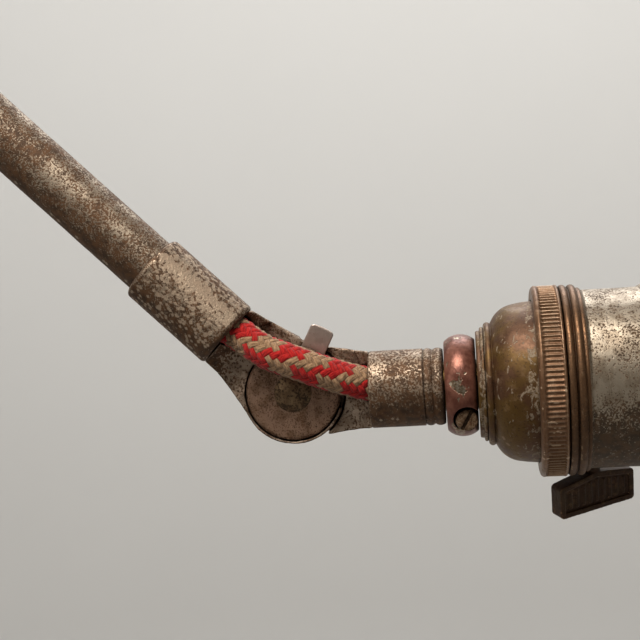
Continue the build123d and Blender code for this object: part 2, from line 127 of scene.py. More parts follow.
def relax(mesh, rounds, strength=0.5):
    """Rounds a dense mesh's edges by averaging each vertex with its neighbours."""
    places, _ = mesh_arrays(mesh)
    edges = np.zeros(len(mesh.edges) * 2, dtype=np.int64)
    mesh.edges.foreach_get("vertices", edges)
    first, second = edges.reshape(-1, 2).T
    degree = np.bincount(np.concatenate([first, second]), minlength=len(places))[:, None]
    for _ in range(rounds):
        total = np.zeros_like(places)
        for axis in range(3):
            total[:, axis] += np.bincount(first, places[second, axis], len(places))
            total[:, axis] += np.bincount(second, places[first, axis], len(places))
        places += strength * (total / degree - places)
    set_places(mesh, places)


def roughen(mesh, seed, lumps=0.05, grain=0.02, pits=0.0, share=0.35):
    """Moves a dense mesh's vertices along their normals as a casting's skin does (millimetres)."""
    places, normals = mesh_arrays(mesh)
    points = places / MM
    height = lumps * fractal(points, 3.2, 2, seed) + grain * fractal(points, 0.7, 2, seed + 20)
    height -= pits * pitting(points, share, seed + 40)
    set_places(mesh, places + normals * height[:, None] * MM)


# ================================================================ mesh builders
def new_object(name, mesh):
    """Links a mesh as a smooth-shaded object."""
    mesh.validate()
    mesh.update()
    mesh.polygons.foreach_set("use_smooth", [True] * len(mesh.polygons))
    obj = bpy.data.objects.new(name, mesh)
    bpy.context.scene.collection.objects.link(obj)
    return obj


def basis(direction):
    """Two unit vectors square to a direction."""
    direction = Vector(direction).normalized()
    side = Vector((0, 1, 0)) if abs(direction.y) < 0.9 else Vector((1, 0, 0))
    first = (side - direction * side.dot(direction)).normalized()
    return np.array(first), np.array(direction.cross(first))


def line(start, end, step):
    """Points from start up to, not including, end."""
    start, end = np.array(start, float), np.array(end, float)
    count = max(1, round(np.linalg.norm(end - start) / step))
    return [start + (end - start) * k / count for k in range(count)]


def arc(start, middle, end, step):
    """Points on the circle through three points, from start up to, not including, end."""
    (ax, ay), (bx, by), (cx, cy) = start, middle, end
    double = 2 * (ax * (by - cy) + bx * (cy - ay) + cx * (ay - by))
    a2, b2, c2 = ax * ax + ay * ay, bx * bx + by * by, cx * cx + cy * cy
    ox = (a2 * (by - cy) + b2 * (cy - ay) + c2 * (ay - by)) / double
    oy = (a2 * (cx - bx) + b2 * (ax - cx) + c2 * (bx - ax)) / double
    radius = math.hypot(ax - ox, ay - oy)
    angles = [math.atan2(y - oy, x - ox) for x, y in (start, middle, end)]
    clockwise = (bx - ax) * (cy - ay) - (by - ay) * (cx - ax) < 0
    turn = (angles[2] - angles[0]) % math.tau
    if clockwise:
        turn -= math.tau
    count = max(2, round(abs(turn) * radius / step))
    return [np.array((ox + radius * math.cos(angles[0] + turn * k / count),
                      oy + radius * math.sin(angles[0] + turn * k / count))) for k in range(count)]


def bead(x0, r0, x1, r1, rise, step):
    """A rolled bead's points, from (x0, r0) to (x1, r1), standing out by rise."""
    return arc((x0, r0), ((x0 + x1) / 2, (r0 + r1) / 2 + rise), (x1, r1), step)


def lathe(name, origin, direction, profile, around, relief):
    """A closed turned mesh from a closed profile of (x, radius) in millimetres, roughened by the
    relief. Its UV map holds millimetres: round the largest radius, and along the profile."""
    profile = np.array(profile)
    rows = len(profile)
    angle = np.arange(around) * math.tau / around
    x = np.repeat(profile[:, 0], around)
    r = np.repeat(profile[:, 1], around)
    turn = np.tile(angle, rows)
    r = r + relief(x, r, turn)
    first, second = basis(direction)
    places = np.array(origin) / MM + np.outer(x, np.array(direction))
    places = places + np.outer(r * np.cos(turn), first) + np.outer(r * np.sin(turn), second)
    row, column = np.meshgrid(np.arange(rows), np.arange(around), indexing="ij")
    next_row, next_column = (row + 1) % rows, (column + 1) % around
    faces = np.stack([row * around + column, row * around + next_column,
                      next_row * around + next_column, next_row * around + column], axis=-1)
    mesh = bpy.data.meshes.new(name)
    mesh.from_pydata((places * MM).tolist(), [], faces.reshape(-1, 4).tolist())
    steps = np.linalg.norm(np.diff(np.vstack([profile, profile[:1]]), axis=0), axis=1)
    travel = np.concatenate([[0], np.cumsum(steps)])
    column_width = math.tau * float(np.max(profile[:, 1])) / around
    u = np.stack([column, column + 1, column + 1, column], axis=-1) * column_width
    v = np.stack([travel[row], travel[row], travel[row + 1], travel[row + 1]], axis=-1)
    layer = mesh.uv_layers.new(name="UVMap")
    layer.data.foreach_set("uv", np.stack([u, v], axis=-1).ravel())
    return new_object(name, mesh)


def recast(name, node, voxel, rounds=2, **skin):
    """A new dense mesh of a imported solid, with rounded edges and a worked skin."""
    source = bpy.data.objects.new(name, frame["nodes"][node].data.copy())
    bpy.context.scene.collection.objects.link(source)
    remesh = source.modifiers.new("voxels", "REMESH")
    remesh.mode = "VOXEL"
    remesh.voxel_size = voxel * MM
    bpy.context.view_layer.update()
    evaluated = source.evaluated_get(bpy.context.evaluated_depsgraph_get())
    mesh = bpy.data.meshes.new_from_object(evaluated)
    bpy.data.objects.remove(source)
    mesh.materials.clear()
    relax(mesh, rounds)
    if skin:
        roughen(mesh, **skin)
    return new_object(name, mesh)


def dress(obj, body, slot, node):
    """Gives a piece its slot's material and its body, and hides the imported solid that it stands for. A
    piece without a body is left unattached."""
    obj.data.materials.clear()
    obj.data.materials.append(MATERIALS[slot])
    if body:
        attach(obj, body)
    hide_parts(node)


# ================================================================ material graph
class Graph:
    """A short way to write a node material."""

    def __init__(self, name):
        self.material = bpy.data.materials.new(name)
        self.material.use_nodes = True
        self.tree = self.material.node_tree
        self.tree.nodes.clear()
        self.shader = self.tree.nodes.new("ShaderNodeBsdfPrincipled")
        output = self.tree.nodes.new("ShaderNodeOutputMaterial")
        self.tree.links.new(self.shader.outputs[0], output.inputs["Surface"])

    def put(self, socket, value):
        """Links a socket to another one, or sets its value."""
        if isinstance(value, bpy.types.NodeSocket):
            self.tree.links.new(value, socket)
        else:
            socket.default_value = value

    def node(self, kind, **settings):
        """A new shader node."""
        made = self.tree.nodes.new("ShaderNode" + kind)
        for key, value in settings.items():
            setattr(made, key, value)
        return made

    def math(self, operation, *numbers, clamp=False):
        """A Math node on sockets or numbers."""
        made = self.node("Math", operation=operation, use_clamp=clamp)
        for socket, number in zip(made.inputs, numbers):
            self.put(socket, number)
        return made.outputs[0]

    def split(self, vector):
        """The three numbers of a vector."""
        made = self.node("SeparateXYZ")
        self.put(made.inputs[0], vector)
        return made.outputs

    def place(self, *stretch):
        """Object coordinates in millimetres, with the axes scaled where a stretch is given."""
        made = self.node("Mapping")
        self.put(made.inputs["Vector"], self.node("TexCoord").outputs["Object"])
        made.inputs["Scale"].default_value = [share / MM for share in stretch or (1, 1, 1)]
        return made.outputs[0]

    def noise(self, vector, size, detail=3.0, roughness=0.55, distortion=0.0):
        """Noise whose features are about size, in the vector's own unit."""
        made = self.node("TexNoise")
        self.put(made.inputs["Vector"], vector)
        made.inputs["Scale"].default_value = 1 / size
        made.inputs["Detail"].default_value = detail
        made.inputs["Roughness"].default_value = roughness
        made.inputs["Distortion"].default_value = distortion
        return made.outputs["Fac"]

    def cells(self, vector, size):
        """Distance to the nearest of scattered points, about size apart."""
        made = self.node("TexVoronoi", feature="F1")
        self.put(made.inputs["Vector"], vector)
        made.inputs["Scale"].default_value = 1 / size
        return made.outputs["Distance"]

    def step(self, value, low, high, rise=0.0, top=1.0):
        """A smooth step from rise to top as the value goes from low to high."""
        made = self.node("MapRange", interpolation_type="SMOOTHSTEP")
        self.put(made.inputs["Value"], value)
        for key, number in (("From Min", low), ("From Max", high), ("To Min", rise), ("To Max", top)):
            made.inputs[key].default_value = number
        return made.outputs["Result"]

    def mix(self, share, first, second):
        """A colour between two colours."""
        made = self.node("Mix", data_type="RGBA")
        self.put(made.inputs[0], share)
        self.put(made.inputs[6], first if isinstance(first, bpy.types.NodeSocket) else (*first, 1))
        self.put(made.inputs[7], second if isinstance(second, bpy.types.NodeSocket) else (*second, 1))
        return made.outputs[2]

    def blend(self, share, first, second):
        """A number between two numbers."""
        made = self.node("Mix", data_type="FLOAT")
        self.put(made.inputs[0], share)
        self.put(made.inputs[2], first)
        self.put(made.inputs[3], second)
        return made.outputs[0]

    def bump(self, height, distance, strength=1.0):
        """A bump whose full height is distance millimetres."""
        made = self.node("Bump")
        made.inputs["Strength"].default_value = strength
        made.inputs["Distance"].default_value = distance * MM
        self.put(made.inputs["Height"], height)
        return made.outputs[0]

    def crevice(self, reach):
        """How much painted shade a point gets: 0 in the open, up to 1 where other surfaces are within reach
        millimetres.
        """
        made = self.node("AmbientOcclusion", samples=6)
        made.inputs["Distance"].default_value = reach * MM
        return self.math("SUBTRACT", 1.0, made.outputs["AO"], clamp=True)

    def shade_crevices(self, color, reach, low, high, dark):
        """The colour, going to a dark one in corners and gaps: painted shade from ambient occlusion."""
        return self.mix(self.step(self.crevice(reach), low, high), color, dark)

    def finish(self, color, metallic, roughness, normal=None):
        """Fills in the shader and gives the material."""
        self.put(self.shader.inputs["Base Color"], color)
        self.put(self.shader.inputs["Metallic"], metallic)
        self.put(self.shader.inputs["Roughness"], roughness)
        if normal is not None:
            self.put(self.shader.inputs["Normal"], normal)
        return self.material


# ================================================================ materials
RUST = (0.115, 0.049, 0.016)
# Dark brown for dirt in pits, and for painted shade in corners and gaps.
DIRT_AND_SHADE = (0.016, 0.008, 0.004)
BRONZE = (0.17, 0.092, 0.048)
RUBBED_BRONZE = (0.42, 0.28, 0.17)


def shade(color, share):
    """A colour made darker, or lighter where share is over 1."""
    return tuple(min(1, channel * share) for channel in color)


def aged_metal(name, bright, dull, rough, rust=RUST, cover=0.42, grain=0.42, patch=6.0,
               under=0.3, pits=0.5, bump=0.05, bronze_to=None):
    """Old plated or bare metal. Brown tarnish shows through the bright skin as dense fine speckle;
    cover is its usual share, and under what is added on the underside, where the brown is partly
    dirt and partly painted shade. Corners and gaps get painted shade. Sizes are in millimetres.
    With bronze_to, it is bronze up to that distance along the lampholder."""
    graph = Graph(name)
    place = graph.place()
    upward = graph.split(graph.node("TexCoord").outputs["Normal"])[2]
    broad = graph.noise(place, patch, 5.0, 0.66)
    fine = graph.noise(place, grain, 2.0, 0.6)
    # Browner towards the underside: partly dirt, partly painted shade.
    level = graph.math("MULTIPLY_ADD", graph.step(upward, -0.95, 0.05, 1.0, 0.0), under, cover - 0.19)
    level = graph.math("ADD", level, graph.math("MULTIPLY", broad, 0.5))
    brown = graph.step(graph.math("SUBTRACT", level, fine), -0.045, 0.045)
    tone = graph.noise(place, patch * 0.5, 3.0)
    hole_gate = graph.step(graph.noise(place, patch * 0.6, 2.0), 0.46, 0.58)
    holes = graph.step(graph.cells(place, grain * 2.6), 0.13, 0.24, 1.0, 0.0)
    holes = graph.math("MULTIPLY", graph.math("MULTIPLY", holes, hole_gate), pits)
    scratches = graph.noise(graph.place(1, 1, 0.17), 0.5, 2.0, 0.6)
    scratches = graph.math("MULTIPLY", graph.step(scratches, 0.62, 0.67), 0.3)
    edges = graph.step(graph.node("NewGeometry").outputs["Pointiness"], 0.53, 0.62)

    color = graph.mix(graph.step(tone, 0.38, 0.62), bright, dull)
    rubbed = shade(bright, 1.5)
    if bronze_to is not None:
        border = HEAD.x / MM + bronze_to
        plated = graph.step(graph.split(place)[0], border - 0.15, border + 0.15)
        color = graph.mix(plated, BRONZE, color)
        rubbed = graph.mix(plated, RUBBED_BRONZE, rubbed)
        brown = graph.math("MULTIPLY", brown, graph.blend(plated, 0.6, 1.0))
    stain = graph.mix(graph.step(graph.noise(place, 1.6, 3.0), 0.36, 0.64), rust, shade(rust, 0.45))
    color = graph.mix(graph.math("MULTIPLY", brown, 0.9), color, stain)
    color = graph.mix(scratches, color, rubbed)
    color = graph.mix(graph.math("MULTIPLY", edges, 0.6), color, rubbed)
    color = graph.mix(holes, color, DIRT_AND_SHADE)
    # Painted shade in corners and gaps between parts.
    color = graph.shade_crevices(color, 1.8, 0.2, 0.75, DIRT_AND_SHADE)

    roughness = graph.blend(brown, graph.blend(tone, *rough), 0.66)
    metallic = graph.blend(graph.math("MAXIMUM", brown, holes), 0.92, 0.5)
    skin = graph.math("MULTIPLY", fine, 0.5)
    height = graph.math("SUBTRACT", skin, graph.math("MULTIPLY", brown, 0.5))
    height = graph.math("SUBTRACT", height, holes)
    return graph.finish(color, metallic, roughness, graph.bump(height, bump, 0.9))


def painted_collar(name):
    """Red-brown paint, rubbed through to bright metal in ragged patches."""
    graph = Graph(name)
    place = graph.place()
    bare = graph.step(graph.noise(graph.place(1, 1, 0.42), 2.6, 4.0, 0.6), 0.585, 0.61)
    rubbed_spots = graph.step(graph.noise(place, 5.0, 5.0, 0.65), 0.6, 0.63)
    bare = graph.math("MAXIMUM", bare, rubbed_spots)
    paint_tone = graph.step(graph.noise(place, 2.4, 4.0), 0.35, 0.65)
    paint = graph.mix(paint_tone, (0.13, 0.042, 0.026), (0.25, 0.1, 0.066))
    metal_tone = graph.step(graph.noise(place, 0.5, 3.0), 0.4, 0.6)
    metal = graph.mix(metal_tone, (0.4, 0.33, 0.25), (0.2, 0.14, 0.085))
    specks = graph.step(graph.noise(place, 0.4, 3.0), 0.63, 0.7)
    color = graph.mix(bare, paint, metal)
    color = graph.mix(graph.math("MULTIPLY", specks, 0.7), color, (0.05, 0.02, 0.012))
    # Painted shade in corners and gaps.
    color = graph.shade_crevices(color, 1.4, 0.2, 0.8, (0.02, 0.012, 0.008))
    metallic = graph.blend(bare, 0.55, 1.0)
    roughness = graph.blend(bare, 0.36, 0.34)
    height = graph.math("SUBTRACT", graph.noise(place, 0.5, 3.0), bare)
    return graph.finish(color, metallic, roughness, graph.bump(height, 0.05))


def tarnished_brass(name, brown, olive, bright, residue, rough, pale_share, bands=()):
    """Dark brass: brown to olive tarnish, bright rubbed edges, and pale residue in ragged marks.
    Each band is (distance along the lampholder, half width, gain) where the residue gathers."""
    graph = Graph(name)
    place = graph.place()
    cloud = graph.noise(place, 2.2, 5.0, 0.7)
    spots = graph.step(graph.noise(place, 0.5, 3.0, 0.65), 0.55, 0.66)
    marks = graph.noise(graph.place(0.62, 0.62, 0.33), 1.1, 4.0, 0.62, 0.8)
    along = graph.split(place)[0]
    for middle, half, gain in bands:
        offset = graph.math("ABSOLUTE", graph.math("SUBTRACT", along, HEAD.x / MM + middle))
        marks = graph.math("ADD", marks, graph.step(offset, half * 0.6, half, gain, 0.0))
    broken = graph.step(graph.noise(place, 0.45, 3.0, 0.7), 0.36, 0.56)
    pale = graph.math("MULTIPLY", graph.step(marks, pale_share, pale_share + 0.035), broken)
    edges = graph.step(graph.node("NewGeometry").outputs["Pointiness"], 0.515, 0.575)

    color = graph.mix(graph.step(graph.noise(place, 8.0, 3.0, 0.6), 0.4, 0.6), brown, olive)
    color = graph.mix(graph.math("MULTIPLY", graph.step(cloud, 0.5, 0.7), 0.3), color, bright)
    color = graph.mix(graph.math("MULTIPLY", spots, 0.55), color, shade(brown, 0.3))
    color = graph.mix(graph.math("MULTIPLY", pale, 0.8), color, residue)
    color = graph.mix(graph.math("MULTIPLY", edges, 0.75), color, bright)
    # Painted shade in corners and gaps.
    color = graph.shade_crevices(color, 1.1, 0.25, 0.8, (0.016, 0.01, 0.006))
    roughness = graph.blend(graph.step(cloud, 0.35, 0.7), rough, rough + 0.2)
    roughness = graph.blend(pale, roughness, 0.7)
    metallic = graph.blend(pale, 0.62, 0.3)
    height = graph.math("ADD", graph.noise(place, 0.4, 3.0), graph.math("MULTIPLY", pale, 0.8))
    return graph.finish(color, metallic, roughness, graph.bump(height, 0.03))


def plain_finish(name, low, high, size, metallic, roughness, bump=0.02):
    """A plainer procedural finish for inner pieces: two tones mixed by noise, with painted shade in corners and
    gaps.
    """
    graph = Graph(name)
    place = graph.place()
    tone = graph.noise(place, size, 4.0)
    color = graph.mix(graph.step(tone, 0.35, 0.65), low, high)
    # Painted shade in corners and gaps.
    color = graph.shade_crevices(color, 1.5, 0.4, 0.95, shade(low, 0.35))
    rough = graph.blend(tone, roughness * 0.85, roughness * 1.15)
    return graph.finish(color, metallic, rough, graph.bump(graph.noise(place, size * 0.2, 3.0), bump))


# The braid: YARNS yarns each way round, in runs of RUN red and RUN beige. Each yarn goes over two
# and under two, and its pitch is BRAID_PITCH millimetres.
YARNS = 12
RUN = 3
BRAID_PITCH = 20.5
FIRST_RED = (0, -2)  # the first red yarn of each direction
FLOAT_STEEPNESS = 0.09  # how much more steeply a yarn lies where it shows than where it is covered
BRAID_START = (0.085, 4.85)  # the pattern's start: share of a turn, and millimetres along


def braid_fabric(name):
    """Woven cotton in a two-over-two braid. The UV map counts yarns in both directions, so the
    yarn on top gives each stitch its colour, its threads and its shaded edges."""
    graph = Graph(name)
    counts = graph.split(graph.node("TexCoord").outputs["UV"])[:2]
    yarns = [graph.math("FLOOR", count) for count in counts]
    lane = graph.math("FLOORED_MODULO", graph.math("ADD", *yarns), 4.0)
    second_on_top = graph.math("GREATER_THAN", lane, 1.5)

    reds, threads, edges = [], [], []
    for k, (count, yarn) in enumerate(zip(counts, yarns)):
        in_run = graph.math("FLOORED_MODULO", graph.math("SUBTRACT", yarn, FIRST_RED[k]), 2 * RUN)
        reds.append(graph.math("LESS_THAN", in_run, RUN))
        fibre_place = graph.node("CombineXYZ")
        graph.put(fibre_place.inputs[0], graph.math("MULTIPLY", count, 4.2))
        graph.put(fibre_place.inputs[1], graph.math("MULTIPLY", counts[1 - k], 0.9))
        graph.put(fibre_place.inputs[2], 3.0 * k)
        threads.append(graph.noise(fibre_place.outputs[0], 0.8, 3.0, 0.6))
        across = graph.math("SUBTRACT", count, yarn)
        from_middle = graph.math("ABSOLUTE", graph.math("MULTIPLY_ADD", across, 2.0, -1.0))
        edges.append(graph.step(from_middle, 0.62, 1.0))
    red = graph.blend(second_on_top, *reds)
    thread = graph.blend(second_on_top, *threads)
    edge = graph.blend(second_on_top, *edges)

    soil = graph.step(graph.noise(graph.place(), 3.5, 3.0), 0.5, 0.78)
    strand = graph.step(thread, 0.3, 0.68)
    red_color = graph.mix(strand, (0.24, 0.004, 0.005), (0.57, 0.024, 0.02))
    beige = graph.mix(strand, (0.16, 0.09, 0.045), (0.47, 0.29, 0.165))
    edge_color = graph.mix(red, (0.09, 0.06, 0.035), (0.12, 0.0, 0.0))
    color = graph.mix(red, beige, red_color)
    color = graph.mix(graph.math("MULTIPLY", edge, 0.5), color, edge_color)
    color = graph.mix(graph.math("MULTIPLY", soil, 0.3), color, (0.09, 0.05, 0.03))
    # Painted shade where the flex lies close to other parts.
    color = graph.shade_crevices(color, 1.6, 0.35, 0.95, (0.025, 0.01, 0.006))
    graph.shader.inputs["Sheen Weight"].default_value = 0.25
    graph.shader.inputs["Sheen Roughness"].default_value = 0.5
    graph.shader.inputs["Specular IOR Level"].default_value = 0.12
    return graph.finish(color, 0.0, 0.92, graph.bump(thread, 0.12))


MATERIALS = {
    "worn_nickel": aged_metal("worn_nickel", (0.35, 0.285, 0.215), (0.235, 0.18, 0.13),
                              rough=(0.42, 0.58), cover=0.45, grain=0.4, patch=8.0, under=0.36),
    "cast_ferrule": aged_metal("cast_ferrule", (0.36, 0.28, 0.205), (0.23, 0.165, 0.115),
                               rough=(0.41, 0.58), cover=0.46, grain=0.45, patch=5.0, under=0.36),
    "cast_knuckle": aged_metal("cast_knuckle", (0.4, 0.31, 0.235), (0.24, 0.17, 0.12),
                               rough=(0.4, 0.58), cover=0.38, grain=0.5, patch=5.0, under=0.34, pits=0.6),
    "cover_steel": aged_metal("cover_steel", (0.34, 0.215, 0.15), (0.23, 0.14, 0.09),
                              rough=(0.48, 0.6), cover=0.38, grain=0.36, patch=5.0, under=0.1),
    "bolt_steel": aged_metal("bolt_steel", (0.24, 0.16, 0.09), (0.18, 0.115, 0.062),
                             rough=(0.4, 0.54), rust=(0.07, 0.036, 0.015), cover=0.38, grain=0.5,
                             patch=3.0, under=0.2),
    "lever_steel": aged_metal("lever_steel", (0.5, 0.41, 0.36), (0.42, 0.34, 0.29),
                              rough=(0.38, 0.46), rust=(0.2, 0.13, 0.085), cover=0.24, grain=0.4,
                              patch=5.0, under=0.0, pits=0.1, bump=0.02),
    "plate_metal": aged_metal("plate_metal", (0.38, 0.31, 0.24), (0.26, 0.2, 0.14),
                              rough=(0.38, 0.55), cover=0.4, grain=0.6, patch=11.0, under=0.2),
    "shell_nickel": aged_metal("shell_nickel", (0.44, 0.37, 0.285), (0.3, 0.24, 0.175),
                               rough=(0.34, 0.5), rust=(0.09, 0.045, 0.017), cover=0.36, grain=0.4,
                               patch=5.0, under=0.5, bronze_to=60.9),
    "screw_steel": aged_metal("screw_steel", (0.32, 0.22, 0.14), (0.17, 0.105, 0.06),
                              rough=(0.38, 0.55), cover=0.42, grain=0.4, patch=1.6, under=0.1),
    "collar_paint": painted_collar("collar_paint"),
    "cap_brass": tarnished_brass("cap_brass", brown=(0.1, 0.046, 0.021), olive=(0.13, 0.07, 0.016),
                                 bright=(0.3, 0.19, 0.11), residue=(0.34, 0.27, 0.19), rough=0.4,
                                 pale_share=0.6, bands=((40.3, 1.0, 0.13), (50.2, 1.2, 0.09))),
    "ring_bronze": tarnished_brass("ring_bronze", brown=(0.17, 0.085, 0.042), olive=(0.19, 0.1, 0.05),
                                   bright=(0.62, 0.45, 0.3), residue=(0.3, 0.23, 0.16), rough=0.34,
                                   pale_share=0.7),
    "key_bronze": tarnished_brass("key_bronze", brown=(0.05, 0.024, 0.012), olive=(0.06, 0.034, 0.016),
                                  bright=(0.3, 0.18, 0.1), residue=(0.14, 0.1, 0.07), rough=0.42,
                                  pale_share=0.72),
    "post_brass": plain_finish("post_brass", (0.2, 0.115, 0.04), (0.36, 0.24, 0.09), 2.0, 1.0, 0.36),
    "contact_brass": plain_finish("contact_brass", (0.42, 0.27, 0.09), (0.68, 0.48, 0.2), 2.5, 1.0, 0.3),
    "fibre": plain_finish("fibre", (0.12, 0.035, 0.02), (0.2, 0.07, 0.04), 1.5, 0.0, 0.7),
    "porcelain": plain_finish("porcelain", (0.6, 0.57, 0.5), (0.76, 0.73, 0.66), 5.0, 0.0, 0.16, 0.005),
    "liner_card": plain_finish("liner_card", (0.16, 0.095, 0.05), (0.28, 0.18, 0.1), 0.8, 0.0, 0.85,
                               0.05),
    "core_rubber": plain_finish("core_rubber", (0.02, 0.018, 0.016), (0.05, 0.045, 0.04), 0.8, 0.0, 0.75,
                                0.05),
    "woven_flex": braid_fabric("woven_flex"),
}


# ================================================================ camera, floor and light
CAMERA_OFFSET = Vector((37.9, -279.0, 31.4))  # from the head pivot, in millimetres
CAMERA_FORWARD = Vector((-0.1104, 0.9922, -0.0572))
CAMERA_UP = Vector((0.0561, 0.0637, 0.9964))
CAMERA_LENS = 74.8  # for a sensor 36 mm wide


def place_camera():
    """The view from the flex's side, a little above, between the knuckle and the lampholder."""
    forward = CAMERA_FORWARD.normalized()
    right = forward.cross(CAMERA_UP).normalized()
    upward = right.cross(forward)
    data = bpy.data.cameras.new("camera")
    data.lens = CAMERA_LENS
    data.sensor_width = 36.0
    data.clip_start = 0.01
    camera = bpy.data.objects.new("camera", data)
    spot = HEAD + CAMERA_OFFSET * MM
    turn = Matrix((right, upward, -forward)).transposed().to_4x4()
    camera.matrix_world = Matrix.Translation(spot) @ turn
    bpy.context.scene.collection.objects.link(camera)
    bpy.context.scene.camera = camera


def area_light(name, offset, target, size, power, color):
    """A soft square light; its place, target and size are in millimetres from the head pivot."""
    data = bpy.data.lights.new(name, "AREA")
    data.energy = power
    data.color = color
    data.size = size * MM
    lamp = bpy.data.objects.new(name, data)
    lamp.location = HEAD + Vector(offset) * MM
    aim = HEAD + Vector(target) * MM - lamp.location
    lamp.rotation_euler = aim.to_track_quat("-Z", "Y").to_euler()
    bpy.context.scene.collection.objects.link(lamp)


def build_cyclorama():
    """A pale floor below the lamp that sweeps up into a pale backdrop all round it."""
    drop = 900  # from the object's lowest point
    flat_r, bend_r, wall = 900, 500, 1900
    bend_steps, around = 12, 96
    level = cad_box[0][2] / MM - drop
    centre = (cad_box[0] + cad_box[1]) / 2 / MM
    profile = [(0.1, 0.0), (flat_r, 0.0)]
    for k in range(1, bend_steps + 1):
        turn = math.pi / 2 * k / bend_steps
        profile.append((flat_r + bend_r * math.sin(turn), bend_r * (1 - math.cos(turn))))
    profile.append((flat_r + bend_r, bend_r + wall))
    places = []
    for radius, height in profile:
        for k in range(around):
            turn = math.tau * k / around
            x, y = radius * math.cos(turn), radius * math.sin(turn)
            places.append(((centre.x + x) * MM, (centre.y + y) * MM, (level + height) * MM))
    faces = []
    for row in range(len(profile) - 1):
        for k in range(around):
            after = (k + 1) % around
            faces.append((row * around + k, row * around + after, (row + 1) * around + after,
                          (row + 1) * around + k))
    mesh = bpy.data.meshes.new("cyclorama")
    mesh.from_pydata(places, [], faces)
    backdrop = new_object("cyclorama", mesh)
    graph = Graph("backdrop_paper")
    paper = graph.mix(graph.noise(graph.place(), 400.0), (0.66, 0.65, 0.63), (0.7, 0.69, 0.67))
    mesh.materials.append(graph.finish(paper, 0.0, 0.85))


def set_stage():
    """Pale surroundings and soft studio lights, the largest of them high in front."""
    build_cyclorama()
    world = bpy.data.worlds.new("studio")
    world.use_nodes = True
    background = world.node_tree.nodes["Background"]
    background.inputs["Color"].default_value = (0.9, 0.88, 0.85, 1)
    background.inputs["Strength"].default_value = 0.08
    scene = bpy.context.scene
    scene.world = world
    scene.view_settings.view_transform = "Standard"
    area_light("key_light", (-60, -230, 420), (20, 0, 0), 260, 2.75, (1.0, 0.94, 0.87))
    area_light("side_light", (-420, -300, 160), (0, 0, 0), 260, 0.25, (1.0, 0.96, 0.92))
    area_light("back_light", (60, 420, 460), (0, 0, 0), 300, 1.2, (0.97, 0.98, 1.0))
    area_light("wall_light", (0, 500, 700), (0, 1300, 0), 900, 11, (1.0, 0.99, 0.97))


# ================================================================ flex
def arm_point(along, across, depth):
    """A point from a knuckle's pivot, in millimetres along and across the arm side's axis."""
    turn = math.atan2(ARM_AXIS.z, ARM_AXIS.x)
    return Vector((along * math.cos(turn) + across * math.sin(turn), depth,
                   along * math.sin(turn) - across * math.cos(turn)))


CORD_R = 3.6
LOOP_ROUTE = [
    arm_point(38.0, 0.0, 0.0),
    arm_point(26.0, 0.1, 0.0),
    arm_point(17.6, 2.2, -1.5),
    arm_point(10.8, 3.0, -3.6),
    Vector((-0.7, -4.4, 7.9)),
    Vector((4.5, -4.4, 5.7)),
    Vector((13.2, -2.9, 2.3)),
    Vector((22.0, 0.0, 0.05)),
    Vector((30.0, 0.0, 0.0)),
]


def spline_points(name, route):
    """Points along a smooth curve through a route, read from its NURBS spline."""
    curve = bpy.data.curves.new(name, "CURVE")
    curve.dimensions = "3D"
    curve.resolution_u = 24
    spline = curve.splines.new("NURBS")
    spline.points.add(len(route) - 1)
    for point, place in zip(spline.points, route):
        point.co = (*place, 1.0)
    spline.order_u = 3
    spline.use_endpoint_u = True
    obj = bpy.data.objects.new(name, curve)
    bpy.context.scene.collection.objects.link(obj)
    bpy.context.view_layer.update()
    mesh = bpy.data.meshes.new_from_object(obj)
    points = np.array([vertex.co for vertex in mesh.vertices])
    bpy.data.objects.remove(obj)
    bpy.data.meshes.remove(mesh)
    return points


def resample(points, fine, coarse, start, end):
    """The same line with points a fine step apart from start to end, and a coarse step elsewhere."""
    lengths = np.concatenate([[0], np.cumsum(np.linalg.norm(np.diff(points, axis=0), axis=1))])
    travel = np.concatenate([np.arange(0, start, coarse), np.arange(start, end, fine),
                             np.arange(end, lengths[-1], coarse), lengths[-1:]])
    return np.stack([np.interp(travel, lengths, points[:, k]) for k in range(3)], axis=1), travel


def braid_counts(share, travel, places):
    """Yarn counts in both directions at a share of a turn and a distance along, with the slight
    wandering of hand-worn yarns."""
    share = share - BRAID_START[0]
    travel = travel - BRAID_START[1]
    first = YARNS * (share - travel / BRAID_PITCH)
    second = YARNS * (share + travel / BRAID_PITCH)
    lean = FLOAT_STEEPNESS * np.sin(math.pi / 2 * (first + second))
    first = first + lean + 0.07 * hash_noise(places, 1.1, 17)
    second = second - lean + 0.07 * hash_noise(places, 1.1, 29)
    return first, second


def braid_height(first, second):
    """Height of the top yarn, 0 in the grooves and 1 along a yarn's crest."""
    first_yarn, second_yarn = np.floor(first), np.floor(second)
    on_top = np.mod(first_yarn + second_yarn, 4) < 2
    across = np.where(on_top, first - first_yarn, second - second_yarn)
    along = np.where(on_top, np.mod(first_yarn + second, 4), np.mod(second_yarn + first, 4) - 2) / 2
    rib = np.sqrt(np.clip(1 - (2 * across - 1) ** 2, 0, 1))
    threads = 0.88 + 0.12 * np.abs(np.sin(3 * math.pi * across))
    return rib * threads * (0.45 + 0.55 * np.sin(math.pi * np.clip(along, 0, 1)) ** 0.7)


